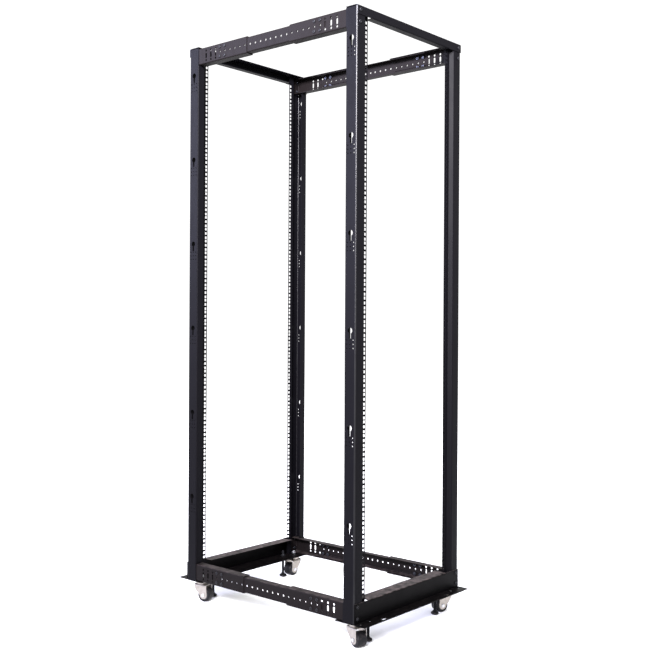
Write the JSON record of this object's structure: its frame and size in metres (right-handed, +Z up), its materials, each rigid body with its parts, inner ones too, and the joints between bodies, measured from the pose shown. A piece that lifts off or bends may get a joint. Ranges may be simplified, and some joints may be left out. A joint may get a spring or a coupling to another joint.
{
  "type": "open four-post server rack",
  "caption": "Tall open four-post equipment rack of black bent sheet steel with square-hole flanges, telescoping side rails, foot plates, swivel casters and levelling feet.",
  "frame": {"origin": "on the floor, at the middle of the rack's width and of its depth, with the depth slide at rest", "axes": "+X to the right seen from the front, +Y from the front frame to the rear frame, +Z up"},
  "size_m": [0.6032, 0.882, 2.052],
  "materials": {
    "frame_black": "fine textured black powder coat, satin",
    "rail_black": "fine textured black powder coat, satin",
    "plate_black": "fine textured black powder coat, satin",
    "black_screw": "black oxide, slightly glossy",
    "zinc": "bright zinc plating",
    "fork_zinc": "bright zinc plating, pressed steel",
    "hub_grey": "moulded dark grey plastic",
    "tyre_black": "hard black rubber tread",
    "foot_black": "moulded black plastic"
  },
  "bodies": {
    "front_frame": {"post_front_left": "frame_black", "post_front_right": "frame_black", "top_beam_front": "frame_black", "base_beam_front": "frame_black", "foot_plate_front": "plate_black", "top_rail_front_left": "rail_black", "top_rail_front_right": "rail_black", "bottom_rail_front_left": "rail_black", "bottom_rail_front_right": "rail_black", "corner_screws_front": "black_screw", "corner_nuts_front": "zinc", "clamp_screws_front": "black_screw", "clamp_nuts_front": "zinc", "foot_nuts_front": "black_screw", "caster_stem_front_left": "zinc", "caster_stem_front_right": "zinc"},
    "rear_frame": {"post_rear_left": "frame_black", "post_rear_right": "frame_black", "top_beam_rear": "frame_black", "base_beam_rear": "frame_black", "foot_plate_rear": "plate_black", "top_rail_rear_left": "rail_black", "top_rail_rear_right": "rail_black", "bottom_rail_rear_left": "rail_black", "bottom_rail_rear_right": "rail_black", "corner_screws_rear": "black_screw", "corner_nuts_rear": "zinc", "clamp_screws_rear": "black_screw", "clamp_nuts_rear": "zinc", "foot_nuts_rear": "black_screw", "caster_stem_rear_left": "zinc", "caster_stem_rear_right": "zinc"},
    "slide_bars": {"slide_bar_top_left": "rail_black", "slide_bar_top_right": "rail_black", "slide_bar_bottom_left": "rail_black", "slide_bar_bottom_right": "rail_black"},
    "caster_front_left": {"caster_fork_front_left": "fork_zinc", "caster_axle_front_left": "zinc"},
    "wheel_front_left": {"caster_hub_front_left": "hub_grey", "caster_tyre_front_left": "tyre_black"},
    "foot_front_left": {"foot_screw_front_left": "black_screw", "foot_pad_front_left": "foot_black"},
    "caster_front_right": {"caster_fork_front_right": "fork_zinc", "caster_axle_front_right": "zinc"},
    "wheel_front_right": {"caster_hub_front_right": "hub_grey", "caster_tyre_front_right": "tyre_black"},
    "foot_front_right": {"foot_screw_front_right": "black_screw", "foot_pad_front_right": "foot_black"},
    "caster_rear_left": {"caster_fork_rear_left": "fork_zinc", "caster_axle_rear_left": "zinc"},
    "wheel_rear_left": {"caster_hub_rear_left": "hub_grey", "caster_tyre_rear_left": "tyre_black"},
    "foot_rear_left": {"foot_screw_rear_left": "black_screw", "foot_pad_rear_left": "foot_black"},
    "caster_rear_right": {"caster_fork_rear_right": "fork_zinc", "caster_axle_rear_right": "zinc"},
    "wheel_rear_right": {"caster_hub_rear_right": "hub_grey", "caster_tyre_rear_right": "tyre_black"},
    "foot_rear_right": {"foot_screw_rear_right": "black_screw", "foot_pad_rear_right": "foot_black"}
  },
  "joints": [
    {"name": "depth_slide", "type": "slide", "parent": "front_frame", "child": "rear_frame", "axis": [0, 1, 0], "range_m": [-0.1905, 0.1524]},
    {"name": "bar_slide", "type": "slide", "parent": "front_frame", "child": "slide_bars", "axis": [0, 1, 0], "range_m": [-0.0955, 0.0765]},
    {"name": "swivel_front_left", "type": "hinge", "parent": "front_frame", "child": "caster_front_left", "pos_m": [-0.252, -0.367, 0.07], "axis": [0, 0, 1], "continuous": true},
    {"name": "wheel_front_left", "type": "hinge", "parent": "caster_front_left", "child": "wheel_front_left", "pos_m": [-0.25641, -0.38238, 0.0254], "axis": [0.9613, -0.2756, 0], "continuous": true},
    {"name": "foot_front_left_screw", "type": "slide", "parent": "front_frame", "child": "foot_front_left", "axis": [0, 0, 1], "range_m": [-0.003, 0.02]},
    {"name": "swivel_front_right", "type": "hinge", "parent": "front_frame", "child": "caster_front_right", "pos_m": [0.252, -0.367, 0.07], "axis": [0, 0, 1], "continuous": true},
    {"name": "wheel_front_right", "type": "hinge", "parent": "caster_front_right", "child": "wheel_front_right", "pos_m": [0.23706, -0.36127, 0.0254], "axis": [-0.3584, -0.9336, 0], "continuous": true},
    {"name": "foot_front_right_screw", "type": "slide", "parent": "front_frame", "child": "foot_front_right", "axis": [0, 0, 1], "range_m": [-0.003, 0.02]},
    {"name": "swivel_rear_left", "type": "hinge", "parent": "rear_frame", "child": "caster_rear_left", "pos_m": [-0.252, 0.367, 0.07], "axis": [0, 0, 1], "continuous": true},
    {"name": "wheel_rear_left", "type": "hinge", "parent": "caster_rear_left", "child": "wheel_rear_left", "pos_m": [-0.24732, 0.3517, 0.0254], "axis": [0.9563, 0.2924, 0], "continuous": true},
    {"name": "foot_rear_left_screw", "type": "slide", "parent": "rear_frame", "child": "foot_rear_left", "axis": [0, 0, 1], "range_m": [-0.003, 0.02]},
    {"name": "swivel_rear_right", "type": "hinge", "parent": "rear_frame", "child": "caster_rear_right", "pos_m": [0.252, 0.367, 0.07], "axis": [0, 0, 1], "continuous": true},
    {"name": "wheel_rear_right", "type": "hinge", "parent": "caster_rear_right", "child": "wheel_rear_right", "pos_m": [0.236, 0.36672, 0.0254], "axis": [0.0175, -0.9998, 0], "continuous": true},
    {"name": "foot_rear_right_screw", "type": "slide", "parent": "rear_frame", "child": "foot_rear_right", "axis": [0, 0, 1], "range_m": [-0.003, 0.02]}
  ],
  "couplings": [
    {"joint": "bar_slide", "follows": "depth_slide", "ratio": 0.5}
  ]
}
